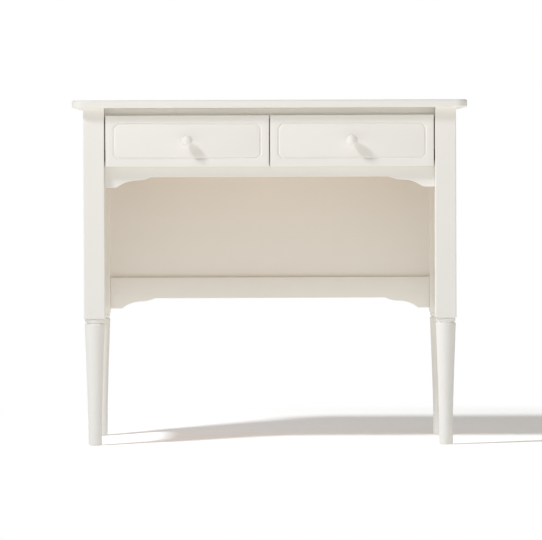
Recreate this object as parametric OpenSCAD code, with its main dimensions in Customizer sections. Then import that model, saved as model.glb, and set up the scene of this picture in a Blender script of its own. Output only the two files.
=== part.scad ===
// Writing desk with two drawers, square-to-round turned legs and scalloped rails.
// Millimetres. X runs to the right, Y to the back and Z up. The origin lies on the
// floor, midway between the knobs and the back edge of the top board.

/* [Desk] */
// Width of the top board
desk_w = 800; // [720:1:1000]
// Depth of the top board, front to back
desk_d = 450; // [430:1:600]
// Height of the top surface above the floor
desk_h = 700; // [670:1:780]

/* [Top board] */
// Thickness of the top board
top_t = 16; // [14:0.5:25]
// Radius of its rounded edges, above and below
top_edge_r = 4; // [2:0.5:6]
// Radius of its corners in plan
top_corner_r = 23; // [10:1:40]
// How far the top stands out past the legs at each side
side_overhang = 22.5; // [5:0.5:40]
// How far the top stands out past the front of the legs
front_overhang = 22; // [5:1:40]
// How far the top stands out past the back of the legs
back_overhang = 12; // [0:1:30]

/* [Legs] */
// Side of the square post
post_w = 42.5; // [38:0.5:55]
// Radius of the post's long edges
post_edge_r = 2; // [1:0.5:3]
// Height of the turned foot, from the floor to the square post
turned_h = 258; // [200:0.1:290]
// Depth turned away from the post's faces at the shoulder
shoulder_cut = 0.9; // [0:0.1:3]
// Depth turned away from the post's faces at the neck
neck_cut = 3.9; // [2:0.1:8]
// Depth turned away from the post's faces at the top of the bead
bead_cut = 1.5; // [1:0.1:5]
// Height of the neck between the post and the bead
neck_h = 0.8; // [0.5:0.1:4]
// Height of the bead under the neck
bead_h = 7.6; // [3:0.1:10]
// Height of the groove between the bead and the shoulder
groove_h = 1.8; // [1:0.1:6]
// Height of the rounded shoulder
shoulder_h = 2.5; // [1:0.1:15]
// Diameter of the foot
foot_d = 28; // [24:0.5:36]
// Height of the straight end of the foot
foot_straight_h = 50; // [10:1:120]
// How the taper eases into the foot, where 1 is a plain cone
taper_ease = 1.25; // [1:0.05:2]
// Diameter of the glide under the foot
glide_d = 23; // [16:0.5:23]
// Thickness of the glide
glide_h = 1.5; // [1:0.1:5]
// Diameter of the glide's nail
nail_d = 2.5; // [2:0.1:3]
// Length of the glide's nail
nail_l = 16; // [10:1:30]

/* [Frame] */
// Thickness of the rails
rail_t = 20; // [18:0.5:24]
// Height of the front rail over the drawers
top_rail_h = 26; // [22:0.5:40]
// Height of the side and back rails under the top
frame_rail_h = 44; // [36:0.5:70]
// Height of the front apron at its middle
apron_h = 33.5; // [28:0.5:45]
// Height of the side and back lower rails at their middle
low_rail_h = 44; // [40:0.5:80]
// Height of the lower rails' ends above the end of the posts
low_rail_gap = 9.3; // [2:0.1:30]
// Thickness of the rail behind the drawers that carries the runners
runner_rail_t = 16; // [14:0.5:18]
// Height of the rail that carries the runners
runner_rail_h = 30; // [26:0.5:50]
// Thickness of the side and back panels
panel_t = 5; // [4:0.5:6]
// Depth to which the panels stand in their grooves
panel_groove = 8; // [5:0.5:10]

/* [Scallop] */
// Length of the flat at each end of a scalloped edge
scallop_flat = 24.5; // [10:0.5:30]
// Depth of the scallop from its middle to its ends
scallop_drop = 21.2; // [16:0.1:24]
// Length of the scallop's hollow arc
hollow_w = 40.5; // [25:0.5:45]
// Height of the scallop's hollow arc
hollow_h = 14.6; // [8:0.1:15]
// Length of the scallop's round arc
round_w = 28; // [15:0.5:32]

/* [Joinery] */
// Thickness of the tenons
tenon_t = 9; // [7:0.5:10]
// Length of the side rails' tenons
side_tenon_l = 20; // [12:1:26]
// Distance of the tenons from the rails' edges
tenon_inset = 8; // [4:0.5:10]
// Wood left between two mortises that meet in a corner
mortise_wall = 2; // [1:0.5:4]
// Glue space at the end of a tenon
glue_gap = 1; // [0.5:0.1:1.5]
// Clearance of each joint all round
fit = 0.1; // [0.05:0.01:0.2]
// Length of the stub tenons on runners, kickers and the drawer divider
stub_l = 6; // [4:0.5:8]
// Thickness of the stub tenons
stub_t = 6; // [4:0.5:7]
// Distance of the stub tenons from the edges
stub_inset = 2; // [1.5:0.5:3]

/* [Drawer opening] */
// Clear height between the apron and the rail over the drawers
opening_h = 80; // [70:1:100]
// Width of the divider between the drawers
divider_w = 20; // [18:0.5:30]
// Width of the side runners and kickers
runner_w = 27; // [24:0.5:34]
// Width of the centre runner and kicker
centre_runner_w = 48; // [44:0.5:70]
// Thickness of the runners
runner_t = 16; // [14:0.5:20]
// Thickness of the side guides
guide_t = 12; // [10:0.5:15]
// Height of the guides
guide_h = 22; // [16:0.5:30]
// Length of the stop behind each drawer side
stop_l = 20; // [16:1:24]
// Height of the drawer stops
stop_h = 18; // [12:1:24]

/* [Drawers] */
// Thickness of the drawer fronts
front_t = 18; // [15:0.5:19]
// Height by which a front laps the rail above it
front_lap_top = 11.5; // [6:0.5:16]
// Height by which a front laps the apron below it
front_lap_bottom = 13; // [6:0.5:16]
// Gap between a front and the leg
front_side_gap = 2.5; // [1.5:0.1:4]
// Gap between the two fronts
front_mid_gap = 2; // [1:0.1:4]
// Gap between the fronts and the rails behind them
front_back_gap = 2; // [1:0.1:3]
// Radius of the fronts' edges
front_edge_r = 2; // [1:0.5:4]
// Inset of the routed line from the front's edges
line_inset = 17.3; // [10:0.1:24]
// Width of the routed line
line_w = 5; // [2:0.1:7]
// Depth of the routed line
line_d = 1.8; // [0.8:0.1:3]
// Length cut off the corners of the routed line
line_clip = 8.25; // [3:0.25:15]
// Length of the drawer box
box_l = 300; // [250:1:320]
// Thickness of the box's sides, front and back
box_t = 10; // [9:0.5:14]
// Thickness of the drawer bottom
bottom_t = 4; // [3:0.5:6]
// Height of the drawer bottom above the sides' lower edge
bottom_lift = 8; // [6:0.5:12]
// Depth of the groove for the drawer bottom
bottom_groove = 5; // [3:0.5:6]
// Number of dovetails in each corner
tail_count = 3; // [2:1:4]
// Width of a dovetail's narrow end, as a share of the dovetails' spacing
tail_share = 0.56; // [0.4:0.02:0.64]
// Slope of the dovetails
tail_slope = 0.14; // [0.1:0.01:0.17]
// Gap between a drawer and its runners
run_gap = 0.4; // [0.3:0.1:1]
// Gap between a drawer and its guides
side_play = 1; // [0.5:0.1:2]
// Gap between a drawer and the kickers
top_play = 1.6; // [1:0.1:4]
// Gap between a shut drawer and its stops
stop_play = 0.3; // [0.3:0.1:1]
// Thickness of the catch that keeps a drawer from falling out
catch_t = 8; // [6:0.5:12]
// Width of the catch
catch_w = 14; // [12:0.5:24]
// Length of the catch
catch_l = 44; // [36:1:60]
// Height by which the catch reaches behind the front rail
catch_reach = 11; // [6:0.5:14]

/* [Knobs] */
// Diameter of the knob's head
knob_d = 22; // [18:0.5:32]
// Diameter of the knob's waist
knob_waist_d = 10.5; // [9:0.5:14]
// Diameter of the knob's foot
knob_foot_d = 14; // [12:0.5:20]
// Height of the knob's foot
knob_foot_h = 2; // [1:0.5:4]
// Distance from the front to the middle of the head
knob_out = 18.5; // [16:0.5:26]
// Distance from the middle of the head to its crown
knob_crown = 10; // [8:0.5:14]
// Diameter of the knob's screw
knob_screw_d = 4; // [3:0.5:5]
// Diameter of the head of the knob's screw
knob_head_d = 12; // [8:0.5:14]
// Height of the head of the knob's screw
knob_head_h = 2.5; // [1.5:0.5:4]
// Depth of the knob's screw in the knob
knob_bite = 14; // [8:1:16]

/* [Screws] */
// Diameter of the screws that hold the top
top_screw_d = 4; // [3:0.5:5]
// Depth of the top screws in the top board
top_screw_bite = 9; // [6:0.5:10]
// Diameter of the screws in guides, stops and catches
small_screw_d = 3.5; // [3:0.5:4]
// Depth of the small screws in the wood that they hold to
small_screw_bite = 9; // [6:0.5:9]
// Diameter of the screws that hold the drawer fronts
front_screw_d = 4; // [3:0.5:5]
// Depth of these screws in the drawer front
front_screw_bite = 11; // [8:0.5:12]
// Diameter of the screws under the drawer bottom
bottom_screw_d = 3; // [2.5:0.5:3]
// Distance of paired screws from the ends of what they hold
screw_inset = 40; // [30:1:60]

/* [Hidden] */

$fn = 64;
over = 1;           // how far a cut runs past the face that it opens
arc_step = 7.5;     // degrees between two points of a drawn curve
arc_points = 10;    // points on each arc of a scallop

// Ranges are written [low, high]
function grown(r, a) = [r[0] - a, r[1] + a];
function middle(r) = (r[0] + r[1]) / 2;
function about(c, w) = [c - w / 2, c + w / 2];

// Plan of the frame
open_x = desk_w / 2 - side_overhang - post_w;
leg_x = open_x + post_w / 2;
board_y = max(0, knob_out + knob_crown - front_overhang) / 2;
front_y = board_y - desk_d / 2 + front_overhang;
back_y = board_y + desk_d / 2 - back_overhang;
bay_y = [front_y + post_w, back_y - post_w];
front_leg_y = front_y + post_w / 2;
back_leg_y = back_y - post_w / 2;
front_rail_y = [front_y + front_t + front_back_gap, front_y + front_t + front_back_gap + rail_t];
back_rail_y = about(back_leg_y, rail_t);
side_rail_x = about(leg_x, rail_t);
back_panel_y = about(back_leg_y, panel_t);
side_panel_x = about(leg_x, panel_t);
runner_rail_y = [back_panel_y[0] - runner_rail_t, back_panel_y[0]];
rail_tenon_l = post_w / 2 - tenon_t / 2 - mortise_wall - glue_gap;

// Heights of the frame
top_under = desk_h - top_t;
opening_top = top_under - top_rail_h;
runner_top = opening_top - opening_h;
front_top_rail_z = [opening_top, top_under];
frame_rail_z = [top_under - frame_rail_h, top_under];
apron_z = [runner_top - apron_h, runner_top];
low_rail_foot_z = turned_h + low_rail_gap;
low_rail_z = [low_rail_foot_z + scallop_drop, low_rail_foot_z + scallop_drop + low_rail_h];
runner_rail_z = [runner_top - runner_rail_h, runner_top];

// Tenons of the rails
low_tenon_z = [low_rail_foot_z + tenon_inset, low_rail_z[1] - panel_groove - tenon_inset / 2];
frame_tenon_z = [frame_rail_z[0] + panel_groove + tenon_inset / 2, top_under - tenon_inset];
front_top_tenon_z = grown(front_top_rail_z, -tenon_inset / 2);
apron_tenon_z = [apron_z[0] - scallop_drop + tenon_inset, runner_top - tenon_inset / 2];
runner_rail_tenon_z = grown(runner_rail_z, -tenon_inset / 2);

// Runners, guides and kickers
runner_y = [front_rail_y[1], runner_rail_y[0]];
runner_z = [runner_top - runner_t, runner_top];
kicker_y = [front_rail_y[1], back_rail_y[0]];
kicker_z = front_top_rail_z;
guide_z = [runner_top, runner_top + guide_h];
side_runner_x = [open_x - runner_w, open_x];
side_guide_x = [open_x - guide_t, open_x];
centre_runner_x = about(0, centre_runner_w);
centre_guide_x = about(0, divider_w);
runner_stub_z = [runner_z[0] + stub_inset, runner_z[0] + stub_inset + stub_t];
kicker_stub_z = [top_under - stub_inset - stub_t, top_under - stub_inset];

// The right-hand drawer, shut
front_x = [front_mid_gap / 2, open_x - front_side_gap];
front_z = [runner_top - front_lap_bottom, opening_top + front_lap_top];
box_x = [divider_w / 2 + side_play, open_x - guide_t - side_play];
box_y = [front_y + front_t, front_y + front_t + box_l];
box_z = [runner_top + run_gap, opening_top - top_play];
inner_side_x = [box_x[0], box_x[0] + box_t];
outer_side_x = [box_x[1] - box_t, box_x[1]];
box_front_y = [box_y[0], box_y[0] + box_t];
box_back_y = [box_y[1] - box_t, box_y[1]];
bottom_z = [box_z[0] + bottom_lift, box_z[0] + bottom_lift + bottom_t];
box_back_z = [bottom_z[1], box_z[1]];
bottom_x = grown(box_x, bottom_groove - box_t);
bottom_y = [box_front_y[1] - bottom_groove, box_y[1]];
stop_y = [box_y[1] + stop_play, box_y[1] + stop_play + stop_l];
catch_y = [box_back_y[0] - catch_t, box_back_y[0]];
catch_top = opening_top + catch_reach;
catch_pivot_z = catch_top - catch_l + catch_w / 2;
knob_x = middle(front_x);
knob_z = middle(front_z);

// Screw lengths and places
top_screw_l = top_rail_h + top_screw_bite;
guide_screw_l = guide_h + small_screw_bite;
stop_screw_l = stop_h + small_screw_bite;
catch_screw_l = catch_t + small_screw_bite;
front_screw_l = box_t + front_screw_bite;
bottom_screw_l = bottom_t + small_screw_bite;
knob_screw_l = box_t + front_t + knob_bite;
side_guide_screw_x = middle(side_guide_x);
side_kicker_screw_x = middle(side_runner_x);
stop_w = runner_w - guide_t - 2 * side_play;
side_stop_x = [side_runner_x[0] + side_play, side_runner_x[0] + side_play + stop_w];
centre_stop_x = [divider_w / 2, centre_runner_w / 2];

// ---- Shapes that repeat ----

// A block between three ranges
module block(x, y, z) {
    translate([x[0], y[0], z[0]])
        cube([x[1] - x[0], y[1] - y[0], z[1] - z[0]]);
}

// Draws its children at the right and, mirrored, at the left
module both_sides() {
    children();
    mirror([1, 0, 0]) children();
}

// A rectangle with round corners
module rounded_rect(w, d, r) {
    square([w, d - 2 * r], center = true);
    square([w - 2 * r, d], center = true);
    for (x = [-1, 1], y = [-1, 1])
        translate([x * (w / 2 - r), y * (d / 2 - r)])
            circle(r);
}

// Radius of a circular arc of width w and height h that runs level at one end
function arc_radius(w, h) = (w * w + h * h) / (2 * h);

// Half of the lower edge of a scalloped rail, from its end at the leg inwards: a flat,
// a hollow arc that ends level, and a round arc that starts level there
function scallop_edge() =
    let (x = scallop_flat + hollow_w, z = hollow_h - scallop_drop,
        hollow_r = arc_radius(hollow_w, hollow_h), hollow_a = asin(hollow_w / hollow_r),
        round_r = arc_radius(round_w, -z), round_a = asin(round_w / round_r))
    concat(
        [[0, -scallop_drop]],
        [for (i = [0 : arc_points])
            let (a = hollow_a * (1 - i / arc_points))
            [x - hollow_r * sin(a), z - hollow_r * (1 - cos(a))]],
        [for (i = [1 : arc_points])
            let (a = round_a * i / arc_points)
            [x + round_r * sin(a), z + round_r * (1 - cos(a))]]
    );

// Face of a scalloped rail of half length l and middle height h, its middle edge at 0
module scalloped_face(l, h) {
    edge = scallop_edge();
    last = len(edge) - 1;
    polygon(concat(
        [[-l, h]],
        [for (p = edge) [-l + p[0], p[1]]],
        [for (i = [0 : last]) [l - edge[last - i][0], edge[last - i][1]]],
        [[l, h]]
    ));
}

// Scalloped rail along X between two ranges of Y and Z
module scalloped_cross_rail(l, y, z) {
    translate([0, y[1], z[0]])
        rotate([90, 0, 0])
            linear_extrude(y[1] - y[0])
                scalloped_face(l, z[1] - z[0]);
}

// Tenons at both ends of a rail along X, and the mortise for one of them
module cross_tenons(y, z) {
    block([-open_x - rail_tenon_l, open_x + rail_tenon_l], about(middle(y), tenon_t), z);
}
module cross_mortise(y, z) {
    block([open_x - over, open_x + rail_tenon_l + glue_gap],
        grown(about(middle(y), tenon_t), fit), grown(z, fit));
}

// Tenons at both ends of a side rail, and the mortises for them
module side_tenons(z) {
    block(about(leg_x, tenon_t), grown(bay_y, side_tenon_l), z);
}
module side_mortises(z) {
    block(grown(about(leg_x, tenon_t), fit), grown(bay_y, side_tenon_l + glue_gap), grown(z, fit));
}

// Stub tenon of a runner or kicker at both ends, and the mortises for it
module stubs(x, y, z) {
    block(grown(x, -stub_inset), grown(y, stub_l), z);
}
module stub_mortises(x, y, z) {
    block(grown(x, fit - stub_inset), grown(y, stub_l + glue_gap / 2), grown(z, fit));
}

// Countersunk wood screw: its head lies at the origin and its point is up
module screw(d, l) {
    rotate_extrude()
        polygon([[0, 0], [d, 0], [d / 2, d / 2], [d / 2, l - d], [0, l]]);
}
module screw_hole(d, l) {
    rotate_extrude()
        polygon([[0, -over], [d + fit, -over], [d + fit, 0], [d / 2 + fit, d / 2],
            [d / 2 + fit, l + glue_gap / 2], [0, l + glue_gap / 2]]);
}

// ---- Top and legs ----

// Section of the board's edge: it ends at 0 in a half-round nose of the two edge radii
module board_edge(l) {
    r = top_edge_r;
    translate([-l, 0]) square([l - r, top_t]);
    translate([-r, r]) square([r, top_t - 2 * r]);
    for (z = [r, top_t - r])
        intersection() {
            translate([-r, z]) circle(r);
            translate([-r, z < top_t / 2 ? 0 : z]) square(r);
        }
}

// Board with all edges rounded, also round its corners
module top_board() {
    c = top_corner_r;
    long = desk_w - 2 * c;
    deep = desk_d - 2 * c;
    color("ivory") difference() {
        translate([0, board_y, top_under]) {
            block(about(0, long), about(0, deep), [0, top_t]);
            for (s = [0, 1]) {
                mirror([0, s, 0])
                    translate([-long / 2, desk_d / 2, 0])
                        rotate([90, 0, 90])
                            linear_extrude(long)
                                board_edge(c + over);
                mirror([s, 0, 0]) {
                    translate([desk_w / 2, deep / 2, 0])
                        rotate([90, 0, 0])
                            linear_extrude(deep)
                                board_edge(c + over);
                    for (t = [0, 1])
                        mirror([0, t, 0])
                            translate([long / 2, deep / 2, 0])
                                rotate_extrude(angle = 90)
                                    intersection() {
                                        translate([c, 0]) board_edge(c + over);
                                        square([c + over, top_t]);
                                    }
                }
            }
        }
        top_screw_places()
            screw_hole(top_screw_d, top_screw_l);
    }
}

// Radius of the turned foot at height z: straight at the floor, then a taper that
// grows with a power of the height up to the shoulder
bead_z = turned_h - neck_h - bead_h;
shoulder_z = bead_z - groove_h - shoulder_h;
function taper_r(z) = foot_d / 2 + (post_w / 2 - shoulder_cut - foot_d / 2)
    * pow(max(0, z - foot_straight_h) / (shoulder_z - foot_straight_h), taper_ease);

// Half section of the turned foot
module foot_profile() {
    neck_r = post_w / 2 - neck_cut;
    bead_out = neck_cut - bead_cut;
    shoulder_out = neck_cut - shoulder_cut;
    taper_steps = 20;
    taper_h = shoulder_z - foot_straight_h;
    polygon(concat(
        [[0, glide_h], [foot_d / 2 - over, glide_h], [foot_d / 2, glide_h + over]],
        [for (i = [0 : taper_steps - 1])
            [taper_r(foot_straight_h + taper_h * i / taper_steps),
                foot_straight_h + taper_h * i / taper_steps]],
        [for (a = [0 : arc_step : 90])
            [neck_r + shoulder_out * cos(a), shoulder_z + shoulder_h * sin(a)]],
        [for (a = [0 : 2 * arc_step : 180])
            [neck_r + bead_out * sin(a), bead_z + bead_h / 2 * (1 - cos(a))]],
        [[neck_r, turned_h + over], [0, turned_h + over]]
    ));
}

// Square post on its turned foot, about its own axis
module leg_blank() {
    rotate_extrude()
        foot_profile();
    translate([0, 0, turned_h])
        linear_extrude(top_under - turned_h)
            rounded_rect(post_w, post_w, post_edge_r);
}

// Hole for the nail of the glide
module nail_hole() {
    cylinder(d = nail_d + 2 * fit, h = glide_h + nail_l + glue_gap);
}

// Grooves for the side panel in the legs at the right
module side_groove() {
    block(grown(side_panel_x, fit), grown(bay_y, panel_groove),
        [low_rail_z[1] - panel_groove, frame_rail_z[0] + panel_groove]);
}

// Groove for the back panel in the right back leg
module back_groove() {
    block([open_x - over, open_x + panel_groove], grown(back_panel_y, fit),
        [low_rail_z[1] - panel_groove, frame_rail_z[0] + panel_groove]);
}

module right_front_post() {
    color("floralwhite") difference() {
        translate([leg_x, front_leg_y, 0]) difference() {
            leg_blank();
            nail_hole();
        }
        cross_mortise(front_rail_y, front_top_tenon_z);
        cross_mortise(front_rail_y, apron_tenon_z);
        side_mortises(frame_tenon_z);
        side_mortises(low_tenon_z);
        side_groove();
    }
}

module right_back_post() {
    color("floralwhite") difference() {
        translate([leg_x, back_leg_y, 0]) difference() {
            leg_blank();
            nail_hole();
        }
        cross_mortise(back_rail_y, frame_tenon_z);
        cross_mortise(back_rail_y, low_tenon_z);
        cross_mortise(runner_rail_y, runner_rail_tenon_z);
        side_mortises(frame_tenon_z);
        side_mortises(low_tenon_z);
        side_groove();
        back_groove();
    }
}

module front_right_leg() right_front_post();
module front_left_leg() mirror([1, 0, 0]) right_front_post();
module back_right_leg() right_back_post();
module back_left_leg() mirror([1, 0, 0]) right_back_post();

// Nylon glides with a nail, one under each foot
module foot_glides() {
    edge = glide_h / 2;
    color("gainsboro") both_sides()
        for (y = [front_leg_y, back_leg_y])
            translate([leg_x, y, 0])
                rotate_extrude()
                    polygon([[0, 0], [glide_d / 2 - edge, 0], [glide_d / 2, edge], [glide_d / 2, glide_h],
                        [nail_d / 2, glide_h], [nail_d / 2, glide_h + nail_l - nail_d],
                        [0, glide_h + nail_l]]);
}

// ---- Rails and panels ----

// Places of the divider's stub tenons
divider_y = front_rail_y;
divider_stub_x = grown(centre_guide_x, -stub_inset);
divider_stub_y = about(middle(divider_y), stub_t);

// Rail over the drawers: tenons at its ends, mortises for the kickers and the divider
module front_top_rail() {
    color("linen") difference() {
        union() {
            block([-open_x, open_x], front_rail_y, front_top_rail_z);
            cross_tenons(front_rail_y, front_top_tenon_z);
        }
        kicker_mortises();
        block(grown(divider_stub_x, fit), grown(divider_stub_y, fit),
            [opening_top - over, opening_top + stub_l + glue_gap / 2]);
    }
}

// Scalloped apron under the drawers
module front_apron() {
    color("linen") difference() {
        union() {
            scalloped_cross_rail(open_x, front_rail_y, apron_z);
            cross_tenons(front_rail_y, apron_tenon_z);
        }
        runner_mortises();
        block(grown(divider_stub_x, fit), grown(divider_stub_y, fit),
            [runner_top - stub_l - glue_gap / 2, runner_top + over]);
    }
}

// Short post between the two drawers
module drawer_divider() {
    color("linen") {
        block(centre_guide_x, divider_y, [runner_top, opening_top]);
        block(divider_stub_x, divider_stub_y, grown([runner_top, opening_top], stub_l));
    }
}

module back_top_rail() {
    color("linen") difference() {
        union() {
            block([-open_x, open_x], back_rail_y, frame_rail_z);
            cross_tenons(back_rail_y, frame_tenon_z);
        }
        kicker_mortises();
        block([-desk_w, desk_w], grown(back_panel_y, fit),
            [frame_rail_z[0] - over, frame_rail_z[0] + panel_groove]);
    }
}

// Rail behind the drawers that carries the back ends of the runners
module runner_rail() {
    color("burlywood") difference() {
        union() {
            block([-open_x, open_x], runner_rail_y, runner_rail_z);
            cross_tenons(runner_rail_y, runner_rail_tenon_z);
        }
        runner_mortises();
    }
}

module back_lower_rail() {
    color("linen") difference() {
        union() {
            scalloped_cross_rail(open_x, back_rail_y, low_rail_z);
            cross_tenons(back_rail_y, low_tenon_z);
        }
        block([-desk_w, desk_w], grown(back_panel_y, fit),
            [low_rail_z[1] - panel_groove, low_rail_z[1] + over]);
    }
}

// Height of the panels in their grooves, with the joint's clearance at both ends
panel_z = [low_rail_z[1] - panel_groove + fit, frame_rail_z[0] + panel_groove - fit];

module back_panel() {
    color("antiquewhite")
        block(about(0, 2 * (open_x + panel_groove - fit)), back_panel_y, panel_z);
}

module side_top_rail() {
    color("linen") difference() {
        union() {
            block(side_rail_x, bay_y, frame_rail_z);
            side_tenons(frame_tenon_z);
        }
        block(grown(side_panel_x, fit), grown(bay_y, side_tenon_l + over),
            [frame_rail_z[0] - over, frame_rail_z[0] + panel_groove]);
    }
}

module side_lower_rail() {
    color("linen") difference() {
        union() {
            translate([side_rail_x[0], middle(bay_y), low_rail_z[0]])
                rotate([90, 0, 90])
                    linear_extrude(rail_t)
                        scalloped_face((bay_y[1] - bay_y[0]) / 2, low_rail_h);
            side_tenons(low_tenon_z);
        }
        block(grown(side_panel_x, fit), grown(bay_y, side_tenon_l + over),
            [low_rail_z[1] - panel_groove, low_rail_z[1] + over]);
    }
}

module side_panel() {
    color("antiquewhite")
        block(side_panel_x, grown(bay_y, panel_groove - fit), panel_z);
}

module right_top_rail() side_top_rail();
module left_top_rail() mirror([1, 0, 0]) side_top_rail();
module right_lower_rail() side_lower_rail();
module left_lower_rail() mirror([1, 0, 0]) side_lower_rail();
module right_panel() side_panel();
module left_panel() mirror([1, 0, 0]) side_panel();

// ---- Runners, guides, kickers and stops ----

module runner_mortises() {
    both_sides() stub_mortises(side_runner_x, runner_y, runner_stub_z);
    stub_mortises(centre_runner_x, runner_y, runner_stub_z);
}

module kicker_mortises() {
    both_sides() stub_mortises(side_runner_x, kicker_y, kicker_stub_z);
    stub_mortises(centre_runner_x, kicker_y, kicker_stub_z);
}

// Two places along a strip, near its ends
function strip_screw_y(y) = [y[0] + screw_inset, y[1] - screw_inset];

// Places of the top screws, under the kickers
module top_screw_places() {
    for (x = [-side_kicker_screw_x, 0, side_kicker_screw_x], y = strip_screw_y(kicker_y))
        translate([x, y, opening_top])
            children();
}

// Places of the guide screws, which point down
module guide_screw_places() {
    for (x = [-side_guide_screw_x, 0, side_guide_screw_x], y = strip_screw_y(runner_y))
        translate([x, y, guide_z[1]])
            mirror([0, 0, 1])
                children();
}

// Places of the stop screws, which point down
module stop_screw_places() {
    both_sides()
        for (x = [middle(side_stop_x), middle(centre_stop_x)])
            translate([x, middle(stop_y), runner_top + stop_h])
                mirror([0, 0, 1])
                    children();
}

module runner(x) {
    color("burlywood") difference() {
        union() {
            block(x, runner_y, runner_z);
            stubs(x, runner_y, runner_stub_z);
        }
        guide_screw_places() screw_hole(small_screw_d, guide_screw_l);
        stop_screw_places() screw_hole(small_screw_d, stop_screw_l);
    }
}

module guide(x) {
    color("tan") difference() {
        block(x, runner_y, guide_z);
        guide_screw_places() screw_hole(small_screw_d, guide_screw_l);
    }
}

module kicker(x) {
    color("burlywood") difference() {
        union() {
            block(x, kicker_y, kicker_z);
            stubs(x, kicker_y, kicker_stub_z);
        }
        top_screw_places() screw_hole(top_screw_d, top_screw_l);
    }
}

module right_runner() runner(side_runner_x);
module left_runner() mirror([1, 0, 0]) runner(side_runner_x);
module centre_runner() runner(centre_runner_x);
module right_guide() guide(side_guide_x);
module left_guide() mirror([1, 0, 0]) guide(side_guide_x);
module centre_guide() guide(centre_guide_x);
module right_kicker() kicker(side_runner_x);
module left_kicker() mirror([1, 0, 0]) kicker(side_runner_x);
module centre_kicker() kicker(centre_runner_x);

// Blocks on the runners that stop the drawer sides
module drawer_stops() {
    color("peru") difference() {
        both_sides() {
            block(side_stop_x, stop_y, [runner_top, runner_top + stop_h]);
            block(centre_stop_x, stop_y, [runner_top, runner_top + stop_h]);
        }
        stop_screw_places() screw_hole(small_screw_d, stop_screw_l);
    }
}

module top_screws() color("silver") top_screw_places() screw(top_screw_d, top_screw_l);
module guide_screws() color("silver") guide_screw_places() screw(small_screw_d, guide_screw_l);
module stop_screws() color("silver") stop_screw_places() screw(small_screw_d, stop_screw_l);

// ---- Drawers, modelled at the right ----

// Places of the screws that hold the front to the box, which point to the front
module front_screw_places() {
    for (x = grown(box_x, -screw_inset), z = grown(box_z, -screw_inset / 2))
        translate([x, box_front_y[1], z])
            rotate([90, 0, 0])
                children();
}

// Places of the screws through the bottom into the back
module bottom_screw_places() {
    for (x = grown(box_x, -screw_inset))
        translate([x, middle(box_back_y), bottom_z[0]])
            children();
}

// Axis of the knob, which points to the front from the back of the box front
module knob_place() {
    translate([knob_x, box_front_y[1], knob_z])
        rotate([90, 0, 0])
            children();
}

// Hole for the knob's screw
module knob_hole() {
    knob_place()
        translate([0, 0, -over])
            cylinder(d = knob_screw_d + 4 * fit, h = knob_screw_l + over + glue_gap);
}

// Corners of the routed line, moved outwards by t: a rectangle with clipped corners.
// A clipped corner grows by t times the difference of its two mitres
function line_corners(t) =
    let (x = grown(front_x, t - line_inset), z = grown(front_z, t - line_inset),
        c = line_clip + t * (2 - sqrt(2)))
    [[x[0] + c, z[0]], [x[1] - c, z[0]], [x[1], z[0] + c], [x[1], z[1] - c],
        [x[1] - c, z[1]], [x[0] + c, z[1]], [x[0], z[1] - c], [x[0], z[0] + c]];

// Section of the router bit: half an ellipse, closed in front of the face
function bit_section() = concat(
    [[line_w / 2, -over]],
    [for (a = [0 : 2 * arc_step : 180]) [line_w / 2 * cos(a), line_d * sin(a)]],
    [[-line_w / 2, -over]]
);

// Groove that the bit cuts on its way round the line, with mitred corners
module routed_line() {
    section = bit_section();
    n = len(section);
    runs = 8;
    rings = [for (p = section) line_corners(p[0])];
    points = [for (i = [0 : runs - 1], j = [0 : n - 1])
        [rings[j][i][0], front_y + section[j][1], rings[j][i][1]]];
    faces = [for (i = [0 : runs - 1], j = [0 : n - 1])
        let (k = (i + 1) % runs, m = (j + 1) % n)
        [k * n + j, k * n + m, i * n + m, i * n + j]];
    polyhedron(points, faces);
}

// Outline of the front seen along its top or its end: both front corners are rounded
module front_section(w) {
    r = front_edge_r;
    translate([0, r]) square([w, front_t - r]);
    translate([r, 0]) square([w - 2 * r, front_t]);
    for (x = [r, w - r])
        translate([x, r]) circle(r);
}

// Drawer front: its outer edges are rounded, and a line is routed round its face
module drawer_front() {
    color("snow") difference() {
        intersection() {
            translate([front_x[0], front_y, front_z[0]])
                linear_extrude(front_z[1] - front_z[0])
                    front_section(front_x[1] - front_x[0]);
            translate([front_x[0], front_y, front_z[1]])
                rotate([0, 90, 0])
                    linear_extrude(front_x[1] - front_x[0])
                        front_section(front_z[1] - front_z[0]);
        }
        routed_line();
        front_screw_places() screw_hole(front_screw_d, front_screw_l);
        knob_hole();
    }
}

// Dovetails at one end of a side, in the plane of the side. Their wide ends lie at
// end_y, and they run inwards, in the direction 1 or -1, through the box's thickness
module tails(end_y, inwards, z, gap) {
    pitch = (z[1] - z[0]) / tail_count;
    neck = pitch * tail_share / 2;
    wide = neck + box_t * tail_slope;
    for (i = [0 : tail_count - 1])
        translate([end_y, z[0] + pitch * (i + 0.5)])
            mirror([inwards < 0 ? 1 : 0, 0])
                polygon([
                    [0, -wide - gap], [box_t, -neck - gap], [box_t + over, -neck - gap],
                    [box_t + over, neck + gap], [box_t, neck + gap], [0, wide + gap]
                ]);
}

// Extrudes a shape drawn in the plane of the sides over a range of X
module across(x) {
    translate([x[0], 0, 0])
        rotate([90, 0, 90])
            linear_extrude(x[1] - x[0])
                children();
}

// Sockets in the box front and back for the tails of both sides
module tail_sockets(end_y, inwards, z) {
    inner = [inner_side_x[0] - over, inner_side_x[1] + fit];
    outer = [outer_side_x[0] - fit, outer_side_x[1] + over];
    for (x = [inner, outer])
        across(x)
            tails(end_y, inwards, z, fit);
}

// Spaces between the tails at one end of a side, down to depth below
module pin_spaces(end_y, inwards, z, below) {
    across([box_x[0] - over, box_x[1] + over])
        difference() {
            translate([end_y - (inwards > 0 ? over : box_t), z[0] - below])
                square([box_t + over, z[1] - z[0] + below + over]);
            tails(end_y, inwards, z, 0);
        }
}

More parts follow.
